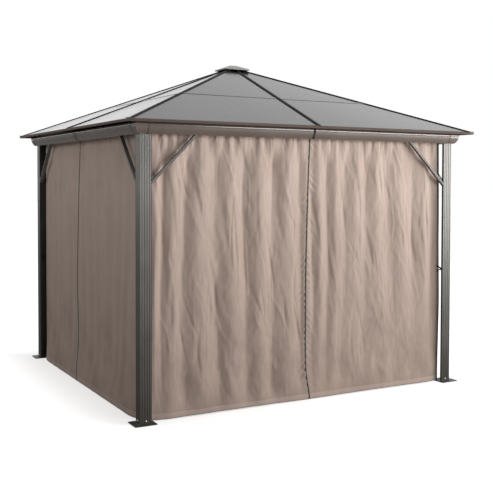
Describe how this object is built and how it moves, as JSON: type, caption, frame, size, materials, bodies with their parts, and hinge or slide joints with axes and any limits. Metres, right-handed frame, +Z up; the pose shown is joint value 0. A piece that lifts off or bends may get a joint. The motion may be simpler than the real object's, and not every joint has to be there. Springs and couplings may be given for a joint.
{
  "type": "garden gazebo",
  "caption": "Square garden gazebo with fluted corner posts, gutter beams, knee braces, a low hipped clear roof with a vent cap, and hung pleated curtains.",
  "frame": {"origin": "middle of the plan at ground level", "axes": "+Z up, -Y towards the front wall, +X to the right of the front wall"},
  "size_m": [2.95, 2.95, 2.6581],
  "materials": {
    "frame": "satin grey-brown powder coat",
    "ribs": "satin near-black powder coat",
    "trim": "satin brown powder coat",
    "roof": "smoke-tinted twin-wall polycarbonate",
    "curtain": "beige woven polyester"
  },
  "bodies": {
    "root": {"post_front_left": "frame", "foot_plate_front_left": "frame", "gutter_corner_front_left": "frame", "hip_rib_front_left": "ribs", "post_front_right": "frame", "foot_plate_front_right": "frame", "gutter_corner_front_right": "frame", "hip_rib_front_right": "ribs", "post_back_right": "frame", "foot_plate_back_right": "frame", "gutter_corner_back_right": "frame", "hip_rib_back_right": "ribs", "post_back_left": "frame", "foot_plate_back_left": "frame", "gutter_corner_back_left": "frame", "hip_rib_back_left": "ribs", "gutter_beam_front": "frame", "middle_rib_front": "ribs", "eave_trim_front": "trim", "roof_sheets_front": "roof", "brace_front_left": "frame", "curtain_front_left": "curtain", "brace_front_right": "frame", "curtain_front_right": "curtain", "gutter_beam_right": "frame", "middle_rib_right": "ribs", "eave_trim_right": "trim", "roof_sheets_right": "roof", "brace_right_front": "frame", "curtain_right_front": "curtain", "brace_right_back": "frame", "curtain_right_back": "curtain", "gutter_beam_back": "frame", "middle_rib_back": "ribs", "eave_trim_back": "trim", "roof_sheets_back": "roof", "brace_back_right": "frame", "curtain_back_right": "curtain", "brace_back_left": "frame", "curtain_back_left": "curtain", "gutter_beam_left": "frame", "middle_rib_left": "ribs", "eave_trim_left": "trim", "roof_sheets_left": "roof", "brace_left_back": "frame", "curtain_left_back": "curtain", "brace_left_front": "frame", "curtain_left_front": "curtain", "crown_hub": "ribs", "vent_cap": "frame"}
  },
  "joints": []
}
